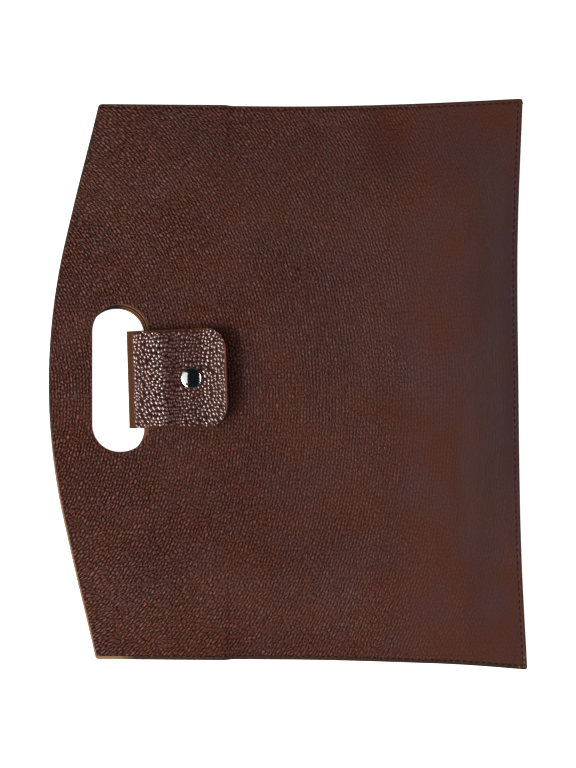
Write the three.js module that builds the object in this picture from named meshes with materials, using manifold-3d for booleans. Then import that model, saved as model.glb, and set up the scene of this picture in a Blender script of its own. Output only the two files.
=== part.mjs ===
// A leather document case that lies on its back: two sheets sewn into an envelope, a hand hole through
// both, and a tab that comes through the hole from behind and is snapped on the front.
// Millimetres. X runs across the case, Y from its foot to its mouth and Z up through its thickness.
// The origin is on the table, under the middle of the whole outline.

import * as THREE from 'three';
import { mergeVertices } from 'three/addons/utils/BufferGeometryUtils.js';
import Module from 'manifold-3d';

const wasm = await Module();
wasm.setup();

// Outline of the sheets
const caseLength = 296.7; // lower foot corner to the middle of the mouth
const footWidth = 355.2;
const mouthWidth = 343.8; // between the two mouth corners
const mouthShift = 1.5; // the mouth corners lie this far to +X of the middle
const mouthRadius = 386; // round middle of the mouth
const mouthSlope = THREE.MathUtils.degToRad(13.26); // straight flanks on both sides of it
const leftFlank = 0.94; // the left flank falls away this much less steeply than the right one
const footBow = 6; // deepest inset of the foot edge between its corners
const cornerRadius = 1.8;

// Leather and gaps
const sheetThick = 1.5;
const facingThick = 0.6;
const tabThick = 1.5;
const clearance = 0.3; // between pieces that touch
const pocketRoom = 3.2; // clear height between the facings over the tab's sewn end
const seamMargin = 5; // flat sewn border along the sides and the foot
const sideRamp = 58; // length over which the front sheet rises from a side seam
const footRamp = 36; // the same from the foot seam

// Facings inside the mouth
const facingDepth = 111; // from the middle of the mouth to the facings' lower edge
const facingProud = 0.5; // their side edges stand out this far past the sheets
const facingRamp = 50; // length over which the seams thin out below the facings

// Hand hole
const holeLength = 91;
const holeWidth = 34.7;
const holeInset = 27; // from the middle of the mouth to the hole's near side, on the front sheet
const holeOffset = 3.7; // the hole's middle lies this far to +X
const holeEnd = 17.3; // length of its rounded ends
const holePower = 2.08; // exponent of those ends: 2 is an ellipse, more is squarer
const backHoleAcross = -2.7; // the back sheet's hole has slipped this far across
const backHoleAlong = 3.2; // and this far towards the mouth

// Each layer's share of that slip, so that the edges of all four show as steps on one side
const holeSlip = { front_panel: 0, front_facing: 0.3, back_facing: 0.7, back_panel: 1 };

// Closure tab
const tabWidth = 61; // at the fold and on the back
const tabEndWidth = 63; // at the free end
const tabReach = 22.6; // snap to free end
const tabEndRadius = 15;
const tabTurn = THREE.MathUtils.degToRad(1.7); // the tab lies slightly askew
const foldReach = 10.3; // the fold's outside past the rim of the back sheet's hole
const foldTop = 20; // from the snap to the highest line of the fold
const foldRise = 1.6; // height of that line above the tab at the snap
const endLift = 5; // the free end curls up this far
const anchorLength = 40; // sewn down on the back, below the hole
const anchorRadius = 5;

// Press snap
const snapDistance = 26.8; // rim of the front sheet's hole to the snap's axis
const capDiameter = 12.5;
const capRim = 0.5;
const capDome = 1.7;
const postDiameter = 3.4;
const socketDiameter = 10.4;
const socketHeight = 1.8;
const knobDiameter = 4.2;
const studDiameter = 10;
const studFlange = 0.6;
const baseThick = 0.7;

// How fine the meshes are
const gridStep = 14.5;
const curveSteps = 3;
const holeSteps = 36;
const snapSides = 28;
const smallSides = 16;

// The sides from the mouth corner, down 0, to the foot corner, down 1. Each column is how far that side
// has moved from its mouth corner to its foot corner, as a share of the way.
const sideTable = [
  { down: 0, right: 0, left: 0 },
  { down: 0.3, right: -0.14, left: 0.1 },
  { down: 0.5, right: -0.19, left: 0.16 },
  { down: 0.7, right: 0.11, left: 0.36 },
  { down: 0.85, right: 0.51, left: 0.58 },
  { down: 1, right: 1, left: 1 },
];

// The foot edge from its left corner, across -1, to its right corner, across 1, inset as a share of footBow.
const footTable = [
  { across: -1, inset: 0 },
  { across: -0.63, inset: 0.57 },
  { across: 0, inset: 0.92 },
  { across: 0.5, inset: 1 },
  { across: 1, inset: 0.48 },
];

// Places that follow from the sizes
const mouthY = caseLength / 2;
const footY = -caseLength / 2;
const facingY = mouthY - facingDepth;
const mouthRight = mouthWidth / 2 + mouthShift;
const mouthLeft = mouthWidth / 2 - mouthShift;
const holeY = mouthY - holeInset - holeWidth / 2;
const frontRimY = holeY - holeWidth / 2;
const backRimY = frontRimY + backHoleAlong;
const snapX = holeOffset;
const snapY = frontRimY - snapDistance;
const tabLift = tabThick + clearance;
const facedSeam = 3 * clearance + 2 * facingThick;

// Share of the way from 0 to 1, with a level start and end
function ease(share) {
  const t = THREE.MathUtils.clamp(share, 0, 1);
  return t * t * (3 - 2 * t);
}

// Value of one column of a table at a place between its rows
function between(table, key, column, at) {
  const found = table.findIndex((row) => row[key] >= at);
  const next = found < 0 ? table.length - 1 : Math.max(1, found);
  const low = table[next - 1];
  const high = table[next];
  const share = THREE.MathUtils.clamp((at - low[key]) / (high[key] - low[key]), 0, 1);
  return THREE.MathUtils.lerp(low[column], high[column], share);
}

// Edges of the sheets
function mouthEdge(x) {
  const away = Math.abs(x);
  const roundHalf = mouthRadius * Math.sin(mouthSlope);
  if (away < roundHalf) return mouthY - mouthRadius + Math.sqrt(mouthRadius ** 2 - away ** 2);
  const drop = mouthRadius * (1 - Math.cos(mouthSlope));
  const fall = Math.tan(mouthSlope) * (x < 0 ? leftFlank : 1);
  return mouthY - drop - (away - roundHalf) * fall;
}

function footEdge(x) {
  const across = THREE.MathUtils.clamp((2 * x) / footWidth, -1, 1);
  return footY + footBow * between(footTable, 'across', 'inset', across);
}

const mouthCornerY = mouthEdge(mouthRight);
const footHalf = footWidth / 2;

function rightEdge(y) {
  const down = (mouthCornerY - y) / (mouthCornerY - footY);
  return THREE.MathUtils.lerp(mouthRight, footHalf, between(sideTable, 'down', 'right', down));
}

function leftEdge(y) {
  const down = (mouthCornerY - y) / (mouthCornerY - footY);
  return -THREE.MathUtils.lerp(mouthLeft, footHalf, between(sideTable, 'down', 'left', down));
}

// Heights of the sheets above the table
function liftAt(x, y) {
  const margin = gridStep;
  const middleY = backRimY - anchorLength / 2;
  const beside = Math.max(0, Math.abs(x - snapX) - tabWidth / 2 - margin);
  const beyond = Math.max(0, Math.abs(y - middleY) - anchorLength / 2 - margin);
  return tabLift * (1 - ease(Math.hypot(beside, beyond) / (2 * gridStep)));
}

function seamGap(y) {
  const share = 1 - (facingY - gridStep - y) / facingRamp;
  return THREE.MathUtils.lerp(clearance, facedSeam, ease(share));
}

function pocketGap(x, y) {
  const fromRight = (rightEdge(y) - x - seamMargin) / sideRamp;
  const fromLeft = (x - leftEdge(y) - seamMargin) / sideRamp;
  const fromFoot = (y - footEdge(x) - seamMargin) / footRamp;
  const open = ease(fromRight) * ease(fromLeft) * ease(fromFoot);
  return THREE.MathUtils.lerp(seamGap(y), facedSeam - clearance + pocketRoom + tabLift, open);
}

const backTop = (x, y) => liftAt(x, y) + sheetThick;
const backFacingLow = (x, y) => backTop(x, y) + clearance;
const backFacingTop = (x, y) => backFacingLow(x, y) + facingThick;
const frontLow = (x, y) => sheetThick + pocketGap(x, y);
const frontTop = (x, y) => frontLow(x, y) + sheetThick;
const frontFacingTop = (x, y) => frontLow(x, y) - clearance;
const frontFacingLow = (x, y) => frontFacingTop(x, y) - facingThick;

// Solids for cutting and joining
function toSolid(geometry) {
  const bare = geometry.clone();
  bare.deleteAttribute('normal');
  bare.deleteAttribute('uv');
  const merged = mergeVertices(bare, 1e-4);
  return new wasm.Manifold(new wasm.Mesh({
    numProp: 3,
    vertProperties: new Float32Array(merged.attributes.position.array),
    triVerts: new Uint32Array(merged.index.array),
  }));
}

function toGeometry(solid) {
  const mesh = solid.getMesh();
  const geometry = new THREE.BufferGeometry();
  geometry.setAttribute('position', new THREE.BufferAttribute(mesh.vertProperties, 3));
  geometry.setIndex(new THREE.BufferAttribute(mesh.triVerts, 1));
  geometry.computeVertexNormals();
  return geometry;
}

// A closed mesh of a grid of points: rings of equal size, each joined to the next, with both ends closed
function closedLoft(rings) {
  const size = rings[0].length;
  const points = rings.flat();
  const index = [];
  for (let ring = 0; ring < rings.length - 1; ring += 1) {
    for (let k = 0; k < size; k += 1) {
      const a = ring * size + k;
      const b = ring * size + ((k + 1) % size);
      index.push(a, b, b + size, a, b + size, a + size);
    }
  }
  const last = (rings.length - 1) * size;
  for (let k = 1; k < size - 1; k += 1) {
    index.push(0, k + 1, k);
    index.push(last, last + k, last + k + 1);
  }
  const geometry = new THREE.BufferGeometry().setFromPoints(points);
  geometry.setIndex(index);
  return geometry;
}

// A slab between two heights on the grid lines that all sheets share, so that their gaps stay even
function gridSlab(box, lowAt, highAt) {
  const firstX = Math.floor(box.min.x / gridStep) - 1;
  const firstY = Math.floor(box.min.y / gridStep) - 1;
  const cellsX = Math.ceil(box.max.x / gridStep) + 1 - firstX;
  const cellsY = Math.ceil(box.max.y / gridStep) + 1 - firstY;
  const points = [];
  for (const heightAt of [lowAt, highAt]) {
    for (let j = 0; j <= cellsY; j += 1) {
      for (let i = 0; i <= cellsX; i += 1) {
        const x = (firstX + i) * gridStep;
        const y = (firstY + j) * gridStep;
        points.push(new THREE.Vector3(x, y, heightAt(x, y)));
      }
    }
  }
  const row = cellsX + 1;
  const layer = row * (cellsY + 1);
  const index = [];
  for (let j = 0; j < cellsY; j += 1) {
    for (let i = 0; i < cellsX; i += 1) {
      const a = j * row + i;
      const b = a + row;
      index.push(a, b, a + 1, a + 1, b, b + 1);
      index.push(layer + a, layer + a + 1, layer + b, layer + a + 1, layer + b + 1, layer + b);
    }
  }
  const wall = (from, to) => index.push(from, to, to + layer, from, to + layer, from + layer);
  for (let i = 0; i < cellsX; i += 1) {
    wall(i, i + 1);
    wall(cellsY * row + i + 1, cellsY * row + i);
  }
  for (let j = 0; j < cellsY; j += 1) {
    wall((j + 1) * row, j * row);
    wall(j * row + cellsX, (j + 1) * row + cellsX);
  }
  const geometry = new THREE.BufferGeometry().setFromPoints(points);
  geometry.setIndex(index);
  return geometry;
}

// Outlines, drawn counterclockwise from the right foot corner
function roundTo(shape, corner, next) {
  const here = shape.currentPoint;
  const back = new THREE.Vector2().subVectors(here, corner).setLength(cornerRadius).add(corner);
  const on = new THREE.Vector2().subVectors(next, corner).setLength(cornerRadius).add(corner);
  shape.lineTo(back.x, back.y);
  shape.quadraticCurveTo(corner.x, corner.y, on.x, on.y);
}

function drawMouth(shape, proud) {
  const right = new THREE.Vector2(mouthRight + proud, mouthEdge(mouthRight));
  const left = new THREE.Vector2(-mouthLeft - proud, mouthEdge(-mouthLeft));
  const roundHalf = mouthRadius * Math.sin(mouthSlope);
  roundTo(shape, right, new THREE.Vector2(roundHalf, mouthEdge(roundHalf)));
  const half = Math.PI / 2;
  shape.absarc(0, mouthY - mouthRadius, mouthRadius, half - mouthSlope, half + mouthSlope, false);
  const below = new THREE.Vector2(leftEdge(facingY) - proud, facingY);
  roundTo(shape, left, below);
}

function handHole(name) {
  const slip = new THREE.Vector2(backHoleAcross, backHoleAlong).multiplyScalar(holeSlip[name]);
  const centre = new THREE.Vector2(holeOffset, holeY).add(slip);
  const points = [];
  const bend = (value) => Math.sign(value) * Math.abs(value) ** (2 / holePower);
  for (let k = 0; k < holeSteps; k += 1) {
    const turn = (-2 * Math.PI * (k + 0.5)) / holeSteps;
    const side = Math.sign(Math.cos(turn)) * (holeLength / 2 - holeEnd);
    const x = centre.x + side + holeEnd * bend(Math.cos(turn));
    const y = centre.y + (holeWidth / 2) * bend(Math.sin(turn));
    points.push(new THREE.Vector2(x, y));
  }
  return new THREE.Path(points);
}

function sheetOutline(name) {
  const shape = new THREE.Shape();
  const sidePoint = (edge, down) => {
    const y = THREE.MathUtils.lerp(mouthCornerY, footY, down);
    return new THREE.Vector2(edge(y), y);
  };
  const footPoint = (x) => new THREE.Vector2(x, footEdge(x));
  const foot = footTable.map(({ across }) => footPoint(across * footHalf));
  const start = foot[foot.length - 1];
  const inner = sideTable.slice(1, -1);
  const rightSide = [...inner].reverse().map(({ down }) => sidePoint(rightEdge, down));
  const leftSide = inner.map(({ down }) => sidePoint(leftEdge, down));
  shape.moveTo(start.x, start.y + cornerRadius);
  shape.splineThru(rightSide);
  drawMouth(shape, 0);
  shape.splineThru([...leftSide, new THREE.Vector2(foot[0].x, foot[0].y + 2 * cornerRadius)]);
  roundTo(shape, foot[0], foot[1]);
  shape.splineThru([...foot.slice(1, -1), new THREE.Vector2(start.x - cornerRadius, start.y)]);
  shape.quadraticCurveTo(start.x, start.y, start.x, start.y + cornerRadius);
  shape.holes.push(handHole(name));
  return shape;
}

function facingOutline(name) {
  const shape = new THREE.Shape();
  shape.moveTo(rightEdge(facingY) + facingProud, facingY);
  drawMouth(shape, facingProud);
  shape.lineTo(leftEdge(facingY) - facingProud, facingY);
  shape.closePath();
  shape.holes.push(handHole(name));
  return shape;
}

function snapHole() {
  return new THREE.Path().absarc(snapX, snapY, postDiameter / 2 + clearance, 0, 2 * Math.PI, true);
}

function leatherSheet(outline, lowAt, highAt) {
  const box = new THREE.Box2().setFromPoints(outline.getPoints(curveSteps));
  const slab = toSolid(gridSlab(box, lowAt, highAt));
  const reach = highAt(snapX, snapY) + sheetThick;
  const prism = new THREE.ExtrudeGeometry(outline, {
    depth: 2 * reach,
    bevelEnabled: false,
    curveSegments: curveSteps,
  });
  prism.translate(0, 0, -reach / 2);
  return toGeometry(slab.intersect(toSolid(prism)));
}

// The tab's route in its own upright plane: u is 0 at the snap and grows towards the hole
const snapTop = frontTop(snapX, snapY);
const snapStack = studFlange + socketHeight + 3 * clearance;
const seatZ = snapTop + snapStack + tabThick / 2;
const foldU = backRimY - snapY;
const anchorU = foldU - anchorLength;
const flatHalf = capDiameter / 2 + clearance;

function tabHeight(u) {
  if (u > 0) return seatZ + foldRise * ease((u - flatHalf) / (foldTop - flatHalf));
  const share = THREE.MathUtils.clamp((-u - flatHalf) / (tabReach - flatHalf), 0, 1);
  return seatZ + endLift * share ** 1.7;
}

// Half width at a distance from an end whose corners are rounded
function roundedHalf(fullHalf, radius, fromEnd) {
  if (fromEnd >= radius) return fullHalf;
  return fullHalf - radius + Math.sqrt(radius ** 2 - (radius - fromEnd) ** 2);
}

function tabRoute() {
  const route = [];
  const lowZ = tabThick / 2;
  const cornerShares = [0, 0.13, 0.5, 1];
  for (const share of cornerShares) {
    const half = roundedHalf(tabWidth / 2, anchorRadius, share * anchorRadius);
    route.push({ u: anchorU + share * anchorRadius, z: lowZ, half });
  }
  const foldHalf = (tabHeight(foldTop) - lowZ) / 2;
  const foldOuter = foldU + foldReach - tabThick / 2;
  const foldSteps = 14;
  for (let k = 0; k <= foldSteps; k += 1) {
    const turn = (Math.PI * k) / foldSteps - Math.PI / 2;
    const from = turn < 0 ? foldU : foldTop;
    const u = from + (foldOuter - from) * Math.cos(turn);
    route.push({ u, z: lowZ + foldHalf * (1 + Math.sin(turn)), half: tabWidth / 2 });
  }
  const frontSteps = 7;
  const straightEnd = -tabReach + tabEndRadius;
  for (let k = 1; k < frontSteps; k += 1) {
    const u = THREE.MathUtils.lerp(foldTop, straightEnd, k / frontSteps);
    route.push({ u, z: tabHeight(u), half: frontHalf(u) });
  }
  for (const share of [1, 0.8, 0.6, 0.4, 0.22, 0.1, 0.025, 0]) {
    const u = -tabReach + share * tabEndRadius;
    const half = roundedHalf(frontHalf(u), tabEndRadius, share * tabEndRadius);
    route.push({ u, z: tabHeight(u), half });
  }
  return route;
}

function frontHalf(u) {
  const share = (foldTop - u) / (foldTop + tabReach);
  return THREE.MathUtils.lerp(tabWidth, tabEndWidth, share) / 2;
}

function closureTab() {
  const route = tabRoute();
  const rings = route.map(({ u, z, half }, k) => {
    const before = route[Math.max(0, k - 1)];
    const after = route[Math.min(route.length - 1, k + 1)];
    const along = new THREE.Vector2(after.u - before.u, after.z - before.z).normalize();
    const up = new THREE.Vector2(-along.y, along.x).multiplyScalar(tabThick / 2);
    return [
      new THREE.Vector3(-half, u - up.x, z - up.y),
      new THREE.Vector3(-half, u + up.x, z + up.y),
      new THREE.Vector3(half, u + up.x, z + up.y),
      new THREE.Vector3(half, u - up.x, z - up.y),
    ];
  });
  const hole = new THREE.CylinderGeometry(
    postDiameter / 2 + clearance, postDiameter / 2 + clearance, 3 * tabThick, smallSides);
  hole.rotateX(Math.PI / 2);
  hole.translate(0, 0, seatZ);
  return toGeometry(toSolid(closedLoft(rings)).subtract(toSolid(hole)));
}

// Turned pieces of the press snap, each drawn from its own seat upwards
function turned(profile, sides) {
  const geometry = new THREE.LatheGeometry(profile.map(([r, z]) => new THREE.Vector2(r, z)), sides);
  geometry.rotateX(Math.PI / 2);
  return geometry;
}

function snapCap() {
  const radius = capDiameter / 2;
  const post = postDiameter / 2;
  const postDepth = tabThick + 2 * clearance + socketHeight / 2;
  const profile = [[0, -postDepth], [post, -postDepth], [post, 0], [radius - capRim / 2, 0]];
  const domeSteps = 6;
  for (let k = 0; k < domeSteps; k += 1) {
    const turn = (k / domeSteps) * (Math.PI / 2);
    profile.push([radius * Math.cos(turn), capRim + capDome * Math.sin(turn)]);
  }
  profile.push([0, capRim + capDome]);
  return turned(profile, snapSides);
}

function snapSocket() {
  const outer = socketDiameter / 2;
  const bore = postDiameter / 2 + clearance;
  const mouth = knobDiameter / 2 + clearance;
  const waist = socketHeight * 0.55;
  return turned([
    [mouth, 0], [outer - 0.6, 0], [outer, waist], [outer, socketHeight],
    [bore, socketHeight], [bore, waist], [mouth, waist], [mouth, 0],
  ], snapSides);
}

function snapStud() {
  const flange = studDiameter / 2;
  const knob = knobDiameter / 2;
  const post = postDiameter / 2;
  const postDepth = sheetThick + facingThick + 3 * clearance + baseThick / 2;
  const knobTop = studFlange + clearance + socketHeight * 0.4;
  return turned([
    [0, -postDepth], [post, -postDepth], [post, 0], [flange - 0.2, 0], [flange, studFlange * 0.6],
    [knob + 0.6, studFlange], [knob * 0.85, studFlange], [knob, knobTop - 0.4],
    [knob * 0.8, knobTop], [0, knobTop],
  ], snapSides);
}

function snapBase() {
  const outer = studDiameter / 2;
  const bore = postDiameter / 2 + clearance;
  return turned([
    [bore, 0], [outer - 0.2, 0], [outer, baseThick / 2], [outer, baseThick], [bore, baseThick], [bore, 0],
  ], snapSides);
}

// Materials
const leather = new THREE.MeshStandardMaterial({ color: '#4b2d28', roughness: 0.5, metalness: 0 });
const tabLeather = new THREE.MeshStandardMaterial({ color: '#54332c', roughness: 0.4, metalness: 0 });
const lining = new THREE.MeshStandardMaterial({ color: '#5d3a2a', roughness: 0.7, metalness: 0 });
const chrome = new THREE.MeshStandardMaterial({ color: '#c9cbcd', roughness: 0.15, metalness: 1 });

function piece(name, geometry, material) {
  const mesh = new THREE.Mesh(geometry, material);
  mesh.name = name;
  return mesh;
}

function sheets() {
  const group = new THREE.Group();
  const layers = [
    { name: 'back_panel', draw: sheetOutline, low: liftAt, high: backTop, skin: leather },
    { name: 'back_facing', draw: facingOutline, low: backFacingLow, high: backFacingTop, skin: lining },
    { name: 'front_facing', draw: facingOutline, low: frontFacingLow, high: frontFacingTop, skin: lining },
    { name: 'front_panel', draw: sheetOutline, low: frontLow, high: frontTop, skin: leather },
  ];
  for (const { name, draw, low, high, skin } of layers) {
    const outline = draw(name);
    if (name.startsWith('front')) outline.holes.push(snapHole());
    group.add(piece(name, leatherSheet(outline, low, high), skin));
  }
  return group;
}

// The tab and the snap share one turned group that stands on the snap's axis
function closure() {
  const group = new THREE.Group();
  group.position.set(snapX, snapY, 0);
  group.rotation.z = tabTurn;
  group.add(piece('closure_tab', closureTab(), tabLeather));
  const stack = [
    { name: 'snap_base', geometry: snapBase(), z: frontFacingLow(snapX, snapY) - clearance - baseThick },
    { name: 'snap_stud', geometry: snapStud(), z: snapTop + clearance },
    { name: 'snap_socket', geometry: snapSocket(), z: snapTop + studFlange + 2 * clearance },
    { name: 'snap_cap', geometry: snapCap(), z: seatZ + tabThick / 2 + clearance },
  ];
  for (const { name, geometry, z } of stack) {
    const mesh = piece(name, geometry, chrome);
    mesh.position.z = z;
    group.add(mesh);
  }
  return group;
}

const documentCase = new THREE.Group();
documentCase.add(sheets(), closure());

export default documentCase;
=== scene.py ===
import math
from functools import partial

import bpy
import numpy as np
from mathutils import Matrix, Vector
from mathutils.geometry import delaunay_2d_cdt


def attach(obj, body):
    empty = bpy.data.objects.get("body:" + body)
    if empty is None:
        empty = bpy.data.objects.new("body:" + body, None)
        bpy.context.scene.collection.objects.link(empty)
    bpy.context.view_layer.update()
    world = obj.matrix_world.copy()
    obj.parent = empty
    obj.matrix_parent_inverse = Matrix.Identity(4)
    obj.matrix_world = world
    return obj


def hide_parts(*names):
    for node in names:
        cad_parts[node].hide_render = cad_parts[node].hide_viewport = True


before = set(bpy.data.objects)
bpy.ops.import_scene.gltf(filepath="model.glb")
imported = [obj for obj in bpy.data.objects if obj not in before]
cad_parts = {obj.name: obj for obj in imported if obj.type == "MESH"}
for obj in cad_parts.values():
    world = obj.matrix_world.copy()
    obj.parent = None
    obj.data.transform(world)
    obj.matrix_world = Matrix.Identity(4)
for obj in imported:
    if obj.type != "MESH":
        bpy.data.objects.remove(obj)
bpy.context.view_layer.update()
scene = bpy.context.scene
mm = 0.001
clearance = 0.3  # air between the pieces of the closure

case = {
    'length': 296.7, 'footWidth': 355.2, 'mouthWidth': 343.8, 'mouthShift': 1.5,
    'mouthRadius': 386, 'mouthSlope': 13.26, 'leftFlank': 0.94, 'footBow': 6, 'cornerRadius': 1.8,
    'sheetThick': 1.5, 'facingThick': 0.6, 'facingDepth': 111, 'facingBulge': 0.45,
    'pocketRoom': 6.8, 'seamMargin': 5, 'sideRamp': 58, 'footRamp': 36,
    'bulgeStep': 5, 'gapStep': 6,  # lengths over which the sides and the seams step at the facings
    'liftMargin': 14.5, 'liftRamp': 29,  # how the back sheet comes down round the tab's sewn end
    'pressed': 0.05,  # air left between leathers that are sewn together
    'edgeRadius': 0.35,
}
hole = {
    'length': 91, 'width': 34.7, 'inset': 27, 'offset': 3.7, 'end': 17.3, 'power': 2.08,
    'slipAcross': -2.7, 'slipAlong': 3.2,
    'painted': 0.85, 'dark': 2.3, 'ringStep': 1.3,  # rings of cells round its rim
}
tab = {
    'width': 61, 'endWidth': 63, 'thick': 1.5, 'reach': 22.6, 'endRadius': 15, 'turn': 1.7,
    'foldReach': 10.3, 'foldTop': 20, 'foldRise': 1.6, 'endLift': 5, 'endCurl': 1.7,
    'anchorLength': 40, 'anchorRadius': 5, 'sewnInset': 3.4, 'sewnBelow': 3.6,
    'snapDistance': 26.8, 'edgeRadius': 0.45, 'firstStep': 1.0, 'gridStep': 0.46,
}
snap = {
    'diameter': 12.5, 'rim': 0.5, 'dome': 1.7, 'stack': 3.3, 'postRadius': 1.7, 'postLength': 3.0,
    'underRound': 0.45, 'rimRound': 0.15, 'domeSteps': 24, 'sides': 96,
}
seam = {
    'sideInset': 2.4, 'footInset': 2.8, 'depth': 0.28, 'spread': 0.6,
    'pitch': 4.0, 'stitch': 2.9, 'thread': 0.75, 'frontLift': 0.12, 'backHeight': 0.39,
    'fromMouth': 3.0, 'fromFoot': 3.2, 'fromCorner': 3.4, 'sideSteps': 220, 'footSteps': 260,
}

mouthY = case['length'] / 2
footY = -mouthY
facingY = mouthY - case['facingDepth']
holeY = mouthY - hole['inset'] - hole['width'] / 2
backRimY = holeY - hole['width'] / 2 + hole['slipAlong']
snapX = hole['offset']
snapY = holeY - hole['width'] / 2 - tab['snapDistance']
tabLift = tab['thick'] + clearance  # the back sheet rises this far over the tab's sewn end


# The outline, as in the part's own drawing
def ease(share):
    t = np.clip(share, 0, 1)
    return t * t * (3 - 2 * t)


def mix(a, b, share):
    return a + (b - a) * share


def through(at, places, values):  # smooth curve through a short table
    places, values = np.array(places, float), np.array(values, float)
    slopes = np.gradient(values, places)
    k = np.clip(np.searchsorted(places, at) - 1, 0, len(places) - 2)
    width = places[k + 1] - places[k]
    t = np.clip((at - places[k]) / width, 0, 1)
    return (values[k] * (1 + 2 * t) * (1 - t) ** 2 + slopes[k] * width * t * (1 - t) ** 2
            + values[k + 1] * t * t * (3 - 2 * t) + slopes[k + 1] * width * t * t * (t - 1))


def mouthEdge(x):
    radius, slope = case['mouthRadius'], math.radians(case['mouthSlope'])
    roundHalf = radius * math.sin(slope)
    away = np.abs(x)
    arc = np.sqrt(radius ** 2 - np.minimum(away, roundHalf) ** 2)
    fall = math.tan(slope) * np.where(x < 0, case['leftFlank'], 1)
    return mouthY - radius + arc - np.maximum(0, away - roundHalf) * fall


# The foot edge's inset from its left to its right corner, as shares of the bow
footTable = {'across': [-1, -0.63, 0, 0.5, 1], 'inset': [0, 0.57, 0.92, 1, 0.48]}


def footEdge(x):
    bow = through(2 * x / case['footWidth'], footTable['across'], footTable['inset'])
    return footY + case['footBow'] * bow


mouthRight = case['mouthWidth'] / 2 + case['mouthShift']
mouthLeft = case['mouthWidth'] / 2 - case['mouthShift']
mouthCornerY = float(mouthEdge(mouthRight))

# How far each side has moved from its mouth corner to its foot corner, as shares of the way
sideTable = {
    'down': [0, 0.3, 0.5, 0.7, 0.85, 1],
    'right': [0, -0.14, -0.19, 0.11, 0.51, 1],
    'left': [0, 0.1, 0.16, 0.36, 0.58, 1],
}


def sideEdge(y, mouthHalf, side):
    down = (mouthCornerY - y) / (mouthCornerY - footY)
    bulge = case['facingBulge'] * ease((y - facingY) / case['bulgeStep'] + 0.5)
    moved = through(down, sideTable['down'], sideTable[side])
    return mix(mouthHalf, case['footWidth'] / 2, moved) + bulge


def rightEdge(y):
    return sideEdge(y, mouthRight, 'right')


def leftEdge(y):
    return -sideEdge(y, mouthLeft, 'left')


# Heights of the sheets above the table
def liftAt(x, y):
    middle = backRimY - tab['anchorLength'] / 2
    beside = np.maximum(0, np.abs(x - snapX) - tab['width'] / 2 - case['liftMargin'])
    beyond = np.maximum(0, np.abs(y - middle) - tab['anchorLength'] / 2 - case['liftMargin'])
    return tabLift * (1 - ease(np.hypot(beside, beyond) / case['liftRamp']))


def seamGap(y):
    facings = 2 * case['facingThick'] + 2 * case['pressed']
    return case['pressed'] + facings * ease((y - facingY) / case['gapStep'] + 0.5)


def frontLow(x, y):
    margin = case['seamMargin']
    fromRight = (rightEdge(y) - x - margin) / case['sideRamp']
    fromLeft = (x - leftEdge(y) - margin) / case['sideRamp']
    fromFoot = (y - footEdge(x) - margin) / case['footRamp']
    opened = ease(fromRight) * ease(fromLeft) * ease(fromFoot)
    return case['sheetThick'] + mix(seamGap(y), case['pocketRoom'], opened)


def seamGroove(x, y):  # the thread pulls the leather down along the seams
    side = np.minimum(x - leftEdge(y), rightEdge(y) - x)
    foot = y - footEdge(x)
    inset = np.minimum(side - seam['sideInset'], foot - seam['footInset'])
    return seam['depth'] * np.exp(-(inset / seam['spread']) ** 2)


def frontTop(x, y):
    return frontLow(x, y) + case['sheetThick'] - seamGroove(x, y)


def backLow(x, y):
    return liftAt(x, y) + seamGroove(x, y)


def backTop(x, y):
    return liftAt(x, y) + case['sheetThick']


# Meshes
def rulings(near, far, length, step):  # fixed insets at both ends of a patch and even steps between
    inner = max(2, round((length - near[-1] - far[-1]) / step))
    fixed = list(near[:-1])
    fixed += [near[-1]] * (inner + 1)
    fixed += [near[-1] + far[-1] - inset for inset in reversed(far[:-1])]
    shares = [0] * (len(near) - 1) + [k / inner for k in range(inner + 1)] + [1] * (len(far) - 1)
    return np.array(fixed, float), np.array(shares, float), inner


def roundCorner(a, b, radius):  # insets from two edges, moved so that their corner is round
    toA, toB = np.clip(radius - a, 0, None), np.clip(radius - b, 0, None)
    far = np.hypot(toA, toB)
    share = np.where((toA > 0) & (toB > 0), np.maximum(toA, toB) / np.maximum(far, 1e-9), 1)
    return a + toA * (1 - share), b + toB * (1 - share)


def holeRing(share, grow, count):  # the hand hole's outline, grown outwards, in even steps
    samples, offAxis = 4000, 1e-4
    turn = np.linspace(0, 2 * math.pi, samples, endpoint=False) + offAxis
    bend = lambda value: np.sign(value) * np.abs(value) ** (2 / hole['power'])
    side = np.sign(np.cos(turn)) * (hole['length'] / 2 - hole['end'])
    x = hole['offset'] + hole['slipAcross'] * share + side + hole['end'] * bend(np.cos(turn))
    y = holeY + hole['slipAlong'] * share + hole['width'] / 2 * bend(np.sin(turn))
    alongX, alongY = np.roll(x, -1) - np.roll(x, 1), np.roll(y, -1) - np.roll(y, 1)
    size = np.hypot(alongX, alongY)
    x, y = x + grow * alongY / size, y - grow * alongX / size
    walked = np.concatenate([[0], np.cumsum(np.hypot(np.diff(x), np.diff(y)))])
    even = np.linspace(0, walked[-1], count, endpoint=False)
    return np.interp(even, walked, x), np.interp(even, walked, y)


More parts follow.
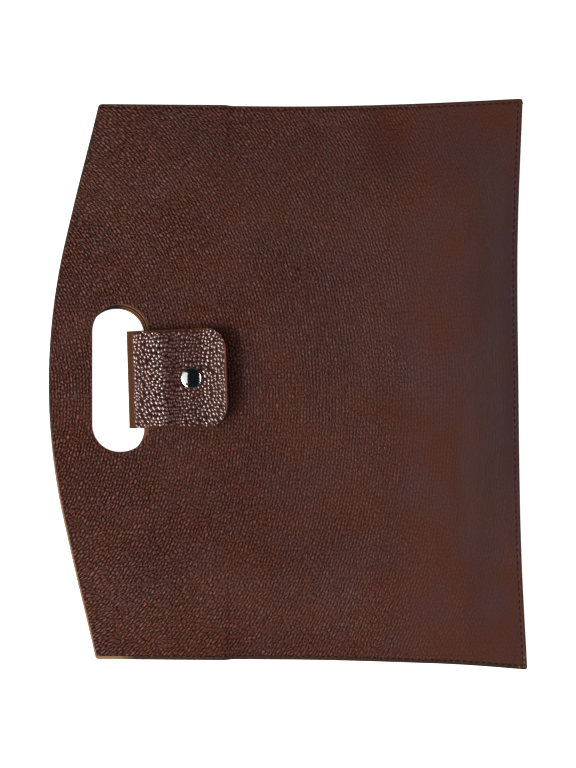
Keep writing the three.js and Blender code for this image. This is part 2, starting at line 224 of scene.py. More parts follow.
def sheetPatch(lowEdge, insets, holeShare):  # cells over a sheet's outline, with its hand hole
    step = insets['step']
    sideFixed, sideShare, inner = rulings(insets['side'], insets['side'], insets['across'], step)
    rowFixed, rowShare, innerRows = rulings(insets['low'], insets['mouth'], insets['length'], step)
    sideEnd, lowEnd, mouthEnd = insets['side'][-1], insets['low'][-1], insets['mouth'][-1]
    x = np.zeros((len(rowFixed), len(sideFixed)))
    for _ in range(8):  # each edge bends along the other, so the points settle in a few rounds
        low, high = lowEdge(x), mouthEdge(x)
        y = low + rowFixed[:, None] + rowShare[:, None] * (high - low - lowEnd - mouthEnd)
        left, right = leftEdge(y), rightEdge(y)
        x = left + sideFixed + sideShare * (right - left - 2 * sideEnd)
    radius = case['cornerRadius']
    for fromLeft in (True, False):
        for fromLow in (True, False):
            a = x - left if fromLeft else right - x
            b = y - low if fromLow else high - y
            newA, newB = roundCorner(a, b, radius)
            x = x + (newA - a) * (1 if fromLeft else -1)
            y = y + (newB - b) * (1 if fromLow else -1)
    rows, cols = x.shape

    # The cells round the hole give way to triangles that follow its rim
    tracePoints = 300
    ringX, ringY = holeRing(holeShare, 0, tracePoints)
    firstCol, firstRow = len(insets['side']) - 1, len(insets['low']) - 1
    reach = 3 * step
    inReach = ((x > ringX.min() - reach) & (x < ringX.max() + reach)
               & (y > ringY.min() - reach) & (y < ringY.max() + reach))
    rowHits, colHits = np.where(inReach)
    r0, r1, c0, c1 = rowHits.min(), rowHits.max(), colHits.min(), colHits.max()
    rowAt, colAt = np.mgrid[0:rows, 0:cols]
    strictly = (rowAt > r0) & (rowAt < r1) & (colAt > c0) & (colAt < c1)
    far = np.full(x.shape, 1e3)
    picked = np.where(strictly)
    gaps = np.hypot(x[picked][:, None] - ringX, y[picked][:, None] - ringY).min(1)
    across = np.abs(x[picked] - (ringX.min() + ringX.max()) / 2) - (hole['length'] / 2 - hole['end'])
    along = np.abs(y[picked] - (ringY.min() + ringY.max()) / 2) / (hole['width'] / 2)
    outside = (np.maximum(across, 0) / hole['end']) ** hole['power'] + along ** hole['power'] > 1
    far[picked] = np.where(outside, gaps, -1)
    rings = [case['edgeRadius'], hole['painted'], hole['dark']]
    sliver = 0.45 * step  # a grid point closer to the rings would make thin triangles
    kept = far > rings[-1] + sliver
    number = np.full(x.shape, -1)
    number[kept] = np.arange(kept.sum())
    px, py = [x[kept]], [y[kept]]
    ringCount = int(round(np.hypot(np.diff(ringX), np.diff(ringY)).sum() / min(step, hole['ringStep'])))
    start = kept.sum()
    ringStarts = []
    for grow in rings:
        rx, ry = holeRing(holeShare, grow, ringCount)
        px.append(rx)
        py.append(ry)
        ringStarts.append(start)
        start += ringCount
    px, py = np.concatenate(px), np.concatenate(py)

    cells = []
    for r in range(rows - 1):
        for c in range(cols - 1):
            if r0 <= r < r1 and c0 <= c < c1:
                continue
            cells.append((number[r, c], number[r, c + 1], number[r + 1, c + 1], number[r + 1, c]))
    block = (rowAt >= r0) & (rowAt <= r1) & (colAt >= c0) & (colAt <= c1) & kept
    chosen = list(number[block]) + list(range(ringStarts[0], len(px)))
    flat = [(float(c), float(r)) for r, c in zip(rowAt[block], colAt[block])]
    rx, ry = px[ringStarts[0]:], py[ringStarts[0]:]
    left, right, low, high = leftEdge(ry), rightEdge(ry), lowEdge(rx), mouthEdge(rx)
    flat += zip((firstCol + (rx - left - sideEnd) / (right - left - 2 * sideEnd) * inner).tolist(),
                (firstRow + (ry - low - lowEnd) / (high - low - lowEnd - mouthEnd) * innerRows).tolist())
    base = int(block.sum())
    ties = [(base + k, base + (k + 1) % ringCount) for k in range(ringCount)]
    found = delaunay_2d_cdt(flat, ties, [], 0, 1e-6, True)
    source = [origin[0] for origin in found[3]]
    for corners in found[2]:
        a, b, c = (source[k] for k in corners)
        if min(a, b, c) >= base and max(a, b, c) < base + ringCount:
            continue
        a, b, c = chosen[a], chosen[b], chosen[c]
        turned = (px[b] - px[a]) * (py[c] - py[a]) - (px[c] - px[a]) * (py[b] - py[a])
        cells.append((a, b, c) if turned > 0 else (a, c, b))
    outer = [*number[0, :-1], *number[:-1, -1], *number[-1, :0:-1], *number[:0:-1, 0]]
    inside = list(range(ringStarts[0], ringStarts[0] + ringCount))[::-1]
    return px, py, cells, [outer, inside]


# A leather with a face, a back and rounded edges. place gives the points at a share of the depth.
def slab(name, patch, place, thick, radius, materials):
    px, py, cells, loops = patch
    count = len(px)
    points = [place(px, py, 0.0), place(px, py, 1.0)]
    faces = [tuple(int(k) for k in cell) for cell in cells]
    faces += [tuple(int(k) + count for k in reversed(cell)) for cell in cells]
    kinds = [0] * len(cells) + [2] * len(cells)
    turns = [math.radians(30), math.radians(60), math.radians(90)]
    profile = [(radius * math.sin(t), radius * (1 - math.cos(t)) / thick) for t in turns]
    profile += [(out, 1 - depth) for out, depth in reversed(profile)]
    start = 2 * count
    for loop in loops:
        loop = np.array(loop)
        lx, ly = px[loop], py[loop]
        tx, ty = np.roll(lx, -1) - np.roll(lx, 1), np.roll(ly, -1) - np.roll(ly, 1)
        size = np.hypot(tx, ty)
        outX, outY = ty / size, -tx / size
        rows = [loop]
        for out, depth in profile:
            points.append(place(lx + outX * out, ly + outY * out, depth))
            rows.append(np.arange(start, start + len(loop)))
            start += len(loop)
        rows.append(loop + count)
        for upper, lower in zip(rows, rows[1:]):
            upperNext, lowerNext = np.roll(upper, -1), np.roll(lower, -1)
            strip = np.stack([upper, lower, lowerNext, upperNext], axis=1)
            faces += [tuple(face) for face in strip.tolist()]
            kinds += [1] * len(strip)
    mesh = bpy.data.meshes.new(name)
    mesh.from_pydata((np.concatenate(points) * mm).tolist(), [], faces)
    for material in materials:
        mesh.materials.append(material)
    mesh.polygons.foreach_set('material_index', kinds)
    mesh.shade_smooth()
    mesh.validate()
    piece = bpy.data.objects.new(name, mesh)
    scene.collection.objects.link(piece)
    return piece


def stacked(high, low):  # a place function for a sheet between two heights
    def place(x, y, depth):
        return np.stack([x, y, mix(high(x, y), low(x, y), depth)], axis=1)
    return place


# Materials
def linear(code):
    values = [int(code[k:k + 2], 16) / 255 for k in (1, 3, 5)]
    return [v / 12.92 if v <= 0.04045 else ((v + 0.055) / 1.055) ** 2.4 for v in values] + [1]


def perMetre(size):  # texture scale that gives features of this many millimetres
    return 1 / (size * mm)


def addNode(tree, kind, inputs=(), **settings):  # inputs by name or number, or a list in order
    node = tree.nodes.new(kind)
    for key, value in settings.items():
        setattr(node, key, value)
    for key, value in inputs.items() if isinstance(inputs, dict) else enumerate(inputs):
        if isinstance(value, bpy.types.NodeSocket):
            tree.links.new(value, node.inputs[key])
        else:
            node.inputs[key].default_value = value
    return node


def startMaterial(name):
    material = bpy.data.materials.new(name)
    material.use_nodes = True
    material.node_tree.nodes.clear()
    return material, partial(addNode, material.node_tree)


def finishMaterial(add, look):
    shader = add('ShaderNodeBsdfPrincipled', look)
    add('ShaderNodeOutputMaterial', {'Surface': shader.outputs['BSDF']})


# Full-grain cowhide, milled and pigment dyed: small long pebbles between dark creases, satin
hide = {
    'pebble': 1.95, 'stretch': 1.3,  # width across the grain, and how many times longer along it
    'arcX': -8, 'arcY': 268,  # the grain runs in wide circles round this point
    'drift': 11.11, 'broad': 45.45, 'tint': 26.32, 'depth': 1.15,
    # The crease and top colours are the dye with painted shade in the creases and painted sheen on the tops;
    # the lightest colour, for the highest tops near the mouth, is a painted highlight
    'crease': '#210b07', 'pebbleTop': '#5f3227', 'paintedHighlight': '#6f483d',
    # plain holds a painted sheen; foot is painted shade with a cool painted reflection
    'plain': '#482c27', 'middle': '#40211b', 'foot': '#38282a',
    # warm and cold tint the hide in broad patches: painted sheen that comes and goes
    'warm': [1.05, 0.95, 0.8, 1], 'cold': [0.96, 1.05, 1.2, 1],
    'roughness': 0.3, 'gloss': 0.17,
    # How crisp the grain is, at shares of the way from 150 mm below the middle to 150 mm above it
    'crisp': [(0.0, 0.16), (0.12, 0.22), (0.2, 0.28), (0.31, 0.46), (0.4, 0.62), (0.5, 0.76),
              (0.6, 0.84), (0.85, 1.0)],
}


def milledHide(name):
    material, add = startMaterial(name)
    spot = add('ShaderNodeTexCoord').outputs['Object']
    axes = add('ShaderNodeSeparateXYZ', [spot]).outputs

    # The grain's own coordinates: across the circles, and along them
    flat = add('ShaderNodeVectorMath', [spot, (1, 1, 0)], operation='MULTIPLY').outputs[0]
    centre = (hide['arcX'] * mm, hide['arcY'] * mm, 0)
    ring = add('ShaderNodeVectorMath', [flat, centre], operation='DISTANCE').outputs['Value']
    cell = perMetre(hide['pebble'])
    across = add('ShaderNodeMath', [ring, cell], operation='MULTIPLY').outputs[0]
    along = add('ShaderNodeMath', [axes['X'], cell / hide['stretch']], operation='MULTIPLY').outputs[0]
    grain = add('ShaderNodeCombineXYZ', {'X': across, 'Y': along}).outputs[0]
    drift = add('ShaderNodeTexNoise', {
        'Vector': spot, 'Scale': perMetre(hide['drift']), 'Detail': 2}).outputs['Color']
    push = add('ShaderNodeVectorMath', [drift, (-0.5, -0.5, -0.5)], operation='ADD').outputs[0]
    grain = add('ShaderNodeVectorMath', [push, (1, 1, 0), grain], operation='MULTIPLY_ADD').outputs[0]
    wrinkle = add('ShaderNodeTexNoise', {'Vector': grain, 'Scale': 1.1, 'Detail': 3}).outputs['Color']
    grain = add('ShaderNodeVectorMath', [wrinkle, (0.8, 0.8, 0), grain],
                operation='MULTIPLY_ADD').outputs[0]

    # Pebbles in broken creases, on ropes that run along the circles
    fine = add('ShaderNodeTexNoise', {
        'Vector': grain, 'Scale': 2.2, 'Detail': 3, 'Roughness': 0.6}).outputs['Fac']
    cells = {'Vector': grain, 'Scale': 1, 'Randomness': 0.92}
    edge = add('ShaderNodeTexVoronoi', cells,
               voronoi_dimensions='2D', feature='DISTANCE_TO_EDGE').outputs['Distance']
    dome = add('ShaderNodeTexVoronoi', cells, voronoi_dimensions='2D', feature='F1').outputs['Distance']
    creased = add('ShaderNodeMath', [edge, 0.27], operation='SUBTRACT').outputs[0]
    broken = add('ShaderNodeMath', [fine, 0.5, creased], operation='MULTIPLY_ADD').outputs[0]
    raised = add('ShaderNodeMapRange', [broken, 0, 0.27, 0, 1], interpolation_type='SMOOTHSTEP').outputs[0]
    squared = add('ShaderNodeMath', [dome, dome], operation='MULTIPLY').outputs[0]
    roundTop = add('ShaderNodeMath', [squared, -1, 1], operation='MULTIPLY_ADD').outputs[0]
    pebble = add('ShaderNodeMath', [raised, roundTop], operation='MULTIPLY').outputs[0]
    column = add('ShaderNodeSeparateXYZ', [grain]).outputs['X']
    phase = add('ShaderNodeMath', [column, 2 * math.pi, -0.47],  # crests over the pebbles' mean column
                operation='MULTIPLY_ADD').outputs[0]
    crest = add('ShaderNodeMath', [phase], operation='SINE').outputs[0]
    rope = add('ShaderNodeMath', [crest, 0.17, 0.17], operation='MULTIPLY_ADD').outputs[0]
    height = add('ShaderNodeMath', [pebble, 0.48, rope], operation='MULTIPLY_ADD').outputs[0]
    height = add('ShaderNodeMath', [fine, 0.35, height], operation='MULTIPLY_ADD').outputs[0]

    # The grain was pressed flatter towards the foot
    broad = add('ShaderNodeTexNoise', {
        'Vector': spot, 'Scale': perMetre(hide['broad']), 'Detail': 3}).outputs['Fac']
    upwards = add('ShaderNodeMapRange', [axes['Y'], -0.15, 0.15, 0, 1]).outputs[0]
    ramp = add('ShaderNodeValToRGB', {'Fac': upwards})
    points = ramp.color_ramp.elements
    first, *between, last = hide['crisp']
    for point, (place, value) in zip(points, (first, last)):
        point.position, point.color = place, [value] * 3 + [1]
    for place, value in between:
        points.new(place).color = [value] * 3 + [1]
    uneven = add('ShaderNodeMapRange', [broad, 0.3, 0.7, 0.75, 1.2]).outputs[0]
    crisp = add('ShaderNodeMath', [ramp.outputs['Color'], uneven], operation='MULTIPLY').outputs[0]

    # Creases and tops: the dye, with painted shade in the creases and painted sheen on the tops;
    # near the mouth the highest tops are painted lighter still, a painted highlight
    tone = add('ShaderNodeMapRange', [height, 0.36, 0.86, 0, 1]).outputs[0]
    grained = add('ShaderNodeMix', {0: tone, 6: linear(hide['crease']), 7: linear(hide['pebbleTop'])},
                  data_type='RGBA').outputs[2]
    handled = add('ShaderNodeMapRange', [axes['Y'], 0.02, 0.12, 0, 1],
                  interpolation_type='SMOOTHSTEP').outputs[0]
    highest = add('ShaderNodeMapRange', [height, 0.72, 1, 0, 0.8]).outputs[0]
    paintedHighlight = add('ShaderNodeMath', [handled, highest], operation='MULTIPLY').outputs[0]
    grained = add('ShaderNodeMix', {0: paintedHighlight, 6: grained, 7: linear(hide['paintedHighlight'])},
                  data_type='RGBA').outputs[2]

    # Where the grain fades the plain colour shows, with a painted sheen in it;
    # along the foot a wide patch is painted greyer and darker: painted shade and a cool painted reflection
    # where the sheet curves down
    aboveFoot = add('ShaderNodeMapRange', [axes['Y'], -0.085, -0.055, 0, 1],
                    interpolation_type='SMOOTHSTEP').outputs[0]
    plain = add('ShaderNodeMix', {0: aboveFoot, 6: linear(hide['plain']), 7: linear(hide['middle'])},
                data_type='RGBA').outputs[2]
    grainShare = add('ShaderNodeMath', [crisp, 1], operation='MINIMUM').outputs[0]
    colour = add('ShaderNodeMix', {0: grainShare, 6: plain, 7: grained}, data_type='RGBA').outputs[2]
    atFoot = add('ShaderNodeMapRange', [axes['Y'], -0.105, -0.14, 0, 0.75],
                 interpolation_type='SMOOTHSTEP').outputs[0]
    aside = add('ShaderNodeMath', [axes['X'], 0.03], operation='SUBTRACT').outputs[0]
    aside = add('ShaderNodeMath', [aside], operation='ABSOLUTE').outputs[0]
    inside = add('ShaderNodeMapRange', [aside, 0.05, 0.14, 1, 0], interpolation_type='SMOOTHSTEP').outputs[0]
    footShade = add('ShaderNodeMath', [atFoot, inside], operation='MULTIPLY').outputs[0]
    colour = add('ShaderNodeMix', {0: footShade, 6: colour, 7: linear(hide['foot'])}, data_type='RGBA').outputs[2]
    # Broad warm and cool patches: painted sheen, stronger in some places than in others
    patches = add('ShaderNodeTexNoise', {
        'Vector': spot, 'Scale': perMetre(hide['tint']), 'Detail': 2}).outputs['Fac']
    patches = add('ShaderNodeMapRange', [patches, 0.35, 0.65, 0, 1]).outputs[0]
    tint = add('ShaderNodeMix', {0: patches, 6: hide['warm'], 7: hide['cold']}, data_type='RGBA').outputs[2]
    colour = add('ShaderNodeMix', {0: 1, 6: colour, 7: tint},
                 data_type='RGBA', blend_type='MULTIPLY').outputs[2]

    satin = add('ShaderNodeMapRange', [
        fine, 0.3, 0.7, hide['roughness'] - 0.04, hide['roughness'] + 0.06]).outputs[0]
    bump = add('ShaderNodeBump', {'Height': height, 'Distance': hide['depth'] * mm, 'Strength': crisp})
    finishMaterial(add, {'Base Color': colour, 'Roughness': satin, 'Specular IOR Level': hide['gloss'],
                         'Normal': bump.outputs['Normal']})
    return material


# Cut edges of the leather, painted or burnished: nearly matt and fibrous, with raw tan where the paint is
# gone at one foot corner.
# Round the hand hole the rim is raw tan on its lit half and painted shade on the other; along the lit flank
# of the mouth the raw tan is partly a painted highlight
cut = {'fibre': 1.4286, 'relief': 0.1, 'roughness': 0.55}


def cutEdge(name, painted, raw, rawAt='', gloss=0.3):
    material, add = startMaterial(name)
    spot = add('ShaderNodeTexCoord').outputs['Object']
    axes = add('ShaderNodeSeparateXYZ', [spot]).outputs
    fibre = add('ShaderNodeTexNoise', {
        'Vector': spot, 'Scale': perMetre(cut['fibre']), 'Detail': 3}).outputs['Fac']
    share = add('ShaderNodeMapRange', [fibre, 0.35, 0.65, 0, 0.12]).outputs[0]
    # Round the hand hole the raw tan shows on the half below the middle, which faces the key light; the
    # other half takes the dark colour as painted shade
    if rawAt == 'rim':
        belowMiddle = add('ShaderNodeMapRange', [
            axes['Y'], (holeY + 3) * mm, (holeY - 5) * mm, 0, 1]).outputs[0]
        share = add('ShaderNodeMath', [share, belowMiddle], operation='MAXIMUM').outputs[0]
    # Along the mouth's left flank, which faces the key light, the raw tan shows: the raw edge's colour, kept
    # to the lit flank as a painted highlight
    if rawAt == 'flank':
        leftOf = add('ShaderNodeMapRange', [axes['X'], -0.02, -0.06, 0, 1]).outputs[0]
        atMouth = add('ShaderNodeMapRange', [axes['Y'], 0.095, 0.105, 0, 1]).outputs[0]
        flank = add('ShaderNodeMath', [leftOf, atMouth], operation='MULTIPLY').outputs[0]
        cornerX = add('ShaderNodeMapRange', [axes['X'], -0.1655, -0.1685, 0, 1]).outputs[0]
        cornerY = add('ShaderNodeMapRange', [axes['Y'], -0.14, -0.1425, 0, 1]).outputs[0]
        corner = add('ShaderNodeMath', [cornerX, cornerY], operation='MULTIPLY').outputs[0]
        chipped = add('ShaderNodeMapRange', [fibre, 0.48, 0.62, 0, 0.7]).outputs[0]
        corner = add('ShaderNodeMath', [corner, chipped], operation='MULTIPLY').outputs[0]
        share = add('ShaderNodeMath', [share, flank], operation='MAXIMUM').outputs[0]
        share = add('ShaderNodeMath', [share, corner], operation='MAXIMUM').outputs[0]
    colour = add('ShaderNodeMix', {0: share, 6: linear(painted), 7: linear(raw)},
                 data_type='RGBA').outputs[2]
    bump = add('ShaderNodeBump', {'Height': fibre, 'Distance': cut['relief'] * mm, 'Strength': 0.6})
    finishMaterial(add, {'Base Color': colour, 'Roughness': cut['roughness'], 'Specular IOR Level': gloss,
                         'Normal': bump.outputs['Normal']})
    return material


# Flesh side and thin lining leather: matt, tan brown, with a nap drawn coarser than real so that it shows
flesh = {'nap': 1.1111, 'relief': 0.15, 'roughness': 0.8}


def nappedLeather(name, dark, light):
    material, add = startMaterial(name)
    spot = add('ShaderNodeTexCoord').outputs['Object']
    nap = add('ShaderNodeTexNoise', {
        'Vector': spot, 'Scale': perMetre(flesh['nap']), 'Detail': 4}).outputs['Fac']
    share = add('ShaderNodeMapRange', [nap, 0.35, 0.65, 0, 1]).outputs[0]
    colour = add('ShaderNodeMix', {0: share, 6: linear(dark), 7: linear(light)}, data_type='RGBA').outputs[2]
    bump = add('ShaderNodeBump', {'Height': nap, 'Distance': flesh['relief'] * mm, 'Strength': 0.7})
    finishMaterial(add, {'Base Color': colour, 'Roughness': flesh['roughness'],
                         'Normal': bump.outputs['Normal']})
    return material


# Coarse shrunken-grain cowhide with a glossy finish: round pebbles, real in the mesh, that glint
shrunken = {
    'fine': 0.6667, 'relief': 0.01, 'crease': '#220a06', 'pebbleTop': '#582b20', 'burnished': '#42210f',
    'roughness': 0.5, 'gloss': 0.15, 'coatRoughness': 0.19, 'coatIor': 2.05,
}


def shrunkenHide(name):
    material, add = startMaterial(name)
    spot = add('ShaderNodeTexCoord').outputs['Object']
    pebble = add('ShaderNodeAttribute', attribute_name='pebble').outputs['Fac']
    smooth = add('ShaderNodeAttribute', attribute_name='worn').outputs['Fac']
    fine = add('ShaderNodeTexNoise', {
        'Vector': spot, 'Scale': perMetre(shrunken['fine']), 'Detail': 2}).outputs['Fac']
    # Creases darker than the tops: the dye, with painted shade in the creases
    tone = add('ShaderNodeMapRange', [pebble, 0.1, 0.9, -0.15, 0.85]).outputs[0]
    tone = add('ShaderNodeMath', [fine, 0.3, tone], operation='MULTIPLY_ADD', use_clamp=True).outputs[0]
    colour = add('ShaderNodeMix', {
        0: tone, 6: linear(shrunken['crease']), 7: linear(shrunken['pebbleTop'])},
        data_type='RGBA').outputs[2]
    colour = add('ShaderNodeMix', {0: smooth, 6: colour, 7: linear(shrunken['burnished'])},
                 data_type='RGBA').outputs[2]
    glossy = add('ShaderNodeMapRange', [pebble, 0.3, 0.65, 0, 1]).outputs[0]
    bump = add('ShaderNodeBump', {'Height': fine, 'Distance': shrunken['relief'] * mm, 'Strength': 0.5})
    finishMaterial(add, {
        'Base Color': colour, 'Roughness': shrunken['roughness'], 'Specular IOR Level': shrunken['gloss'],
        'Coat Weight': glossy, 'Coat Roughness': shrunken['coatRoughness'],
        'Coat IOR': shrunken['coatIor'], 'Normal': bump.outputs['Normal']})
    return material


# Waxed polyester thread: dark, slightly shiny, with a twist drawn coarser than real so that it shows
waxed = {'twist': 1.6667, 'relief': 0.05, 'dark': '#1a0504', 'light': '#34100b', 'roughness': 0.6,
         'gloss': 0.15}


def waxedThread(name):
    material, add = startMaterial(name)
    spot = add('ShaderNodeTexCoord').outputs['Object']
    twist = add('ShaderNodeTexWave', {'Vector': spot, 'Scale': perMetre(waxed['twist']), 'Distortion': 1.5},
                bands_direction='DIAGONAL').outputs['Fac']
    colour = add('ShaderNodeMix', {0: twist, 6: linear(waxed['dark']), 7: linear(waxed['light'])},
                 data_type='RGBA').outputs[2]
    bump = add('ShaderNodeBump', {'Height': twist, 'Distance': waxed['relief'] * mm, 'Strength': 0.8})
    finishMaterial(add, {'Base Color': colour, 'Roughness': waxed['roughness'],
                         'Specular IOR Level': waxed['gloss'], 'Normal': bump.outputs['Normal']})
    return material


# Nickel-chrome plated brass, polished: a mirror with faint handling marks
plate = {'marks': 1.1111, 'dull': '#b9bcc0', 'bright': '#dcdfe2', 'polished': 0.06, 'handled': 0.16}


def plating(name):
    material, add = startMaterial(name)
    spot = add('ShaderNodeTexCoord').outputs['Object']
    marks = add('ShaderNodeTexNoise', {
        'Vector': spot, 'Scale': perMetre(plate['marks']), 'Detail': 3}).outputs['Fac']
    colour = add('ShaderNodeMix', {0: marks, 6: linear(plate['dull']), 7: linear(plate['bright'])},
                 data_type='RGBA').outputs[2]
    roughness = add('ShaderNodeMapRange', [marks, 0.4, 0.7, plate['polished'], plate['handled']]).outputs[0]
    finishMaterial(add, {'Base Color': colour, 'Metallic': 1, 'Roughness': roughness})
    return material


# Smooth white board under the case, lit from within so that the ground stays plain
board = {'mottle': 333.3, 'dark': '#f7f7f7', 'light': '#fdfdfd', 'glow': 0.9, 'roughness': 0.9}


def paleBoard(name):
    material, add = startMaterial(name)
    spot = add('ShaderNodeTexCoord').outputs['Object']
    mottle = add('ShaderNodeTexNoise', {'Vector': spot, 'Scale': perMetre(board['mottle'])}).outputs['Fac']
    colour = add('ShaderNodeMix', {0: mottle, 6: linear(board['dark']), 7: linear(board['light'])},
                 data_type='RGBA').outputs[2]
    finishMaterial(add, {'Base Color': colour, 'Emission Color': colour, 'Emission Strength': board['glow'],
                         'Roughness': board['roughness'], 'Specular IOR Level': 0})
    return material


frontHide = milledHide('milled cowhide')
# Edge paint, with the raw tan along the lit flank of the mouth partly a painted highlight
sheetEdge = cutEdge('painted edge', '#25120b', '#7d6147', 'flank')
# The hand hole's rim: raw tan on the lit half, painted shade on the other
rimRawAndShade = cutEdge('hand hole rim, raw tan and painted shade', '#150a06', '#84532a', 'rim', 0.2)
# Dark cut edge of the facings, also laid on the second ring of cells round the hand hole as painted shade
# between the layers
facingEdgeAndGapShade = cutEdge('dark cut edge and painted gap shade', '#160a05', '#3a2010', gloss=0.1)
tabEdge = cutEdge('burnished tab edge', '#40220c', '#583412', gloss=0.12)
tabBorder = cutEdge('smoothed tab border', '#55291a', '#6b3822', gloss=0.15)
fleshSide = nappedLeather('flesh side', '#4d3122', '#6a452f')
facingSkin = nappedLeather('lining leather', '#7a4a24', '#965f30')
tabHide = shrunkenHide('shrunken grain cowhide')
thread = waxedThread('waxed thread')
chrome = plating('polished chrome plate')
whiteBoard = paleBoard('pale board')
print('materials made')


# Sheets and facings. The insets are those of the mesh lines near each edge.
panelInsets = {
    'side': [case['edgeRadius'], 0.85, 1.8, 2.15, 2.4, 2.65, 3.0, 3.7, 5.0],
    'low': [case['edgeRadius'], 0.85, 2.2, 2.55, 2.8, 3.05, 3.4, 4.2, 5.5],
    'mouth': [case['edgeRadius'], 1.2, 2.4], 'across': 350, 'length': 290, 'step': 2.0,
}
facingInsets = {
    'side': [0.28, 2.0], 'low': [0.28, 2.0], 'mouth': [0.28, 2.0], 'across': 350, 'length': 111, 'step': 3.0,
}
paint = {'sewn': 0.9, 'mouth': 1.25, 'corner': 2.3, 'cornerX': -166}  # how far it reaches over the edges


def flatLow(x):
    return np.full_like(x, facingY)


def paintEdges(piece, node, patch, lowEdge):
    px, py, cells, (_, rimLoop) = patch
    rimStart, rimCount = min(rimLoop), len(rimLoop)
    # Under the front sheet the first ring round the hand hole takes the rim's colours, and the second ring
    # is painted dark: painted shade between the layers
    if node != 'front_panel':  # under the front sheet, the hand hole's rim is raw and then dark
        piece.data.materials.append(rimRawAndShade)
        piece.data.materials.append(facingEdgeAndGapShade)
        for face, cell in zip(piece.data.polygons, cells):
            if min(cell) >= rimStart:
                face.material_index = 3 if max(cell) < rimStart + 2 * rimCount else 4
    if node.endswith('panel'):  # paint on the outside, along the sewn edges, the mouth and a worn corner
        inset = np.minimum(np.minimum(px - leftEdge(py), rightEdge(py) - px), py - lowEdge(px))
        below = mouthEdge(px) - py
        firstOutside = len(cells) if node == 'back_panel' else 0
        for face, cell in zip(piece.data.polygons[firstOutside:], cells):
            deepest = max(inset[k] for k in cell)
            atCorner = max(px[k] for k in cell) < paint['cornerX'] and deepest < paint['corner']
            if deepest < paint['sewn'] or max(below[k] for k in cell) < paint['mouth'] or atCorner:
                face.material_index = 1


pressed = case['pressed']
facingThick = case['facingThick']
layers = {
    'back_panel': {
        'slip': 1.0, 'lowEdge': footEdge, 'insets': panelInsets, 'thick': case['sheetThick'],
        'skins': [fleshSide, sheetEdge, frontHide], 'slot': 'case_leather',
        'high': backTop, 'low': backLow},
    'front_panel': {
        'slip': 0.0, 'lowEdge': footEdge, 'insets': panelInsets, 'thick': case['sheetThick'],
        'skins': [frontHide, sheetEdge, fleshSide], 'slot': 'case_leather',
        'high': frontTop, 'low': frontLow},
    'back_facing': {
        'slip': 0.7, 'lowEdge': flatLow, 'insets': facingInsets, 'thick': facingThick,
        'skins': [facingSkin, facingEdgeAndGapShade, facingSkin], 'slot': 'facing_leather',
        'high': lambda x, y: backTop(x, y) + pressed + facingThick,
        'low': lambda x, y: backTop(x, y) + pressed},
    'front_facing': {
        'slip': 0.3, 'lowEdge': flatLow, 'insets': facingInsets, 'thick': facingThick,
        'skins': [facingSkin, facingEdgeAndGapShade, facingSkin], 'slot': 'facing_leather',
        'high': lambda x, y: frontLow(x, y) - pressed,
        'low': lambda x, y: frontLow(x, y) - pressed - facingThick},
}
for node, layer in layers.items():
    patch = sheetPatch(layer['lowEdge'], layer['insets'], layer['slip'])
    name = node.replace('_', ' ').title().replace(' ', '')
    piece = slab(name, patch, stacked(layer['high'], layer['low']), layer['thick'],
                 layer['insets']['side'][0], layer['skins'])
    paintEdges(piece, node, patch, layer['lowEdge'])
    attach(piece, 'root')
    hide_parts(node)
    print(piece.name, len(piece.data.polygons), 'faces')


# Closure tab: one strip, from its free end over the fold to its sewn end. Along it, u is 0 at the snap
# and grows towards the hole, s is the way walked on the leather, and a is the way across.
seatZ = frontLow(snapX, snapY) + case['sheetThick'] + snap['stack'] + tab['thick'] / 2
flatHalf = snap['diameter'] / 2 + clearance
foldU = backRimY - snapY
turnCos, turnSin = math.cos(math.radians(tab['turn'])), math.sin(math.radians(tab['turn']))


def turnedAt(a, u):  # the tab lies slightly askew
    return snapX + a * turnCos - u * turnSin, snapY + a * turnSin + u * turnCos


def tabHeight(u):
    rise = tab['foldRise'] * ease((u - flatHalf) / (tab['foldTop'] - flatHalf))
    share = np.clip((-u - flatHalf) / (tab['reach'] - flatHalf), 0, 1)
    return seatZ + rise + tab['endLift'] * share ** tab['endCurl']


def tabRoute():
    frontSteps, foldSteps, backSteps = 300, 400, 200
    front = np.linspace(-tab['reach'], tab['foldTop'], frontSteps)
    lowZ = tab['thick'] / 2
    foldHalf = (tabHeight(tab['foldTop']) - lowZ) / 2
    foldOuter = foldU + tab['foldReach'] - lowZ
    turn = np.radians(np.linspace(90, -90, foldSteps))[1:]
    start = np.where(turn < 0, foldU, tab['foldTop'])
    foldAt = start + (foldOuter - start) * np.cos(turn)
    foldZ = lowZ + foldHalf * (1 + np.sin(turn))
    back = np.linspace(foldU, foldU - tab['anchorLength'], backSteps)[1:]
    u = np.concatenate([front, foldAt, back])
    z = np.concatenate([tabHeight(front), foldZ, np.full(len(back), lowZ)])
    walked = np.concatenate([[0], np.cumsum(np.hypot(np.diff(u), np.diff(z)))])
    return u, z, walked


routeU, routeZ, routeWalk = tabRoute()
tabLength = routeWalk[-1]

pebbles = {
    'size': 2.4, 'height': 0.7, 'seed': 11, 'scatter': 0.8,
    'bend': 190, 'middle': 4,  # their rows bend in arcs round the tab's middle
    'swell': 0.2, 'ripple': 0.12,  # and waver, in shares of a pebble
    'crease': 0.36, 'dome': 0.75,  # width of a crease and reach of a dome, in pebbles
    'calm': 0.25, 'calmFrom': 10, 'calmTo': 41, 'calmFade': 7,  # flatter where the middle was stretched
    'border': 0.7, 'borderFade': 1.3,  # burnished smooth along the edges
    'foldBare': 6.6, 'foldFade': 2.6,  # and on the outside of the fold
    'backFrom': 22, 'backFade': 10,  # below the table's side of the fold no pebble stands out
    'sunk': 0.6,  # share of their height that lies below the leather's face
}


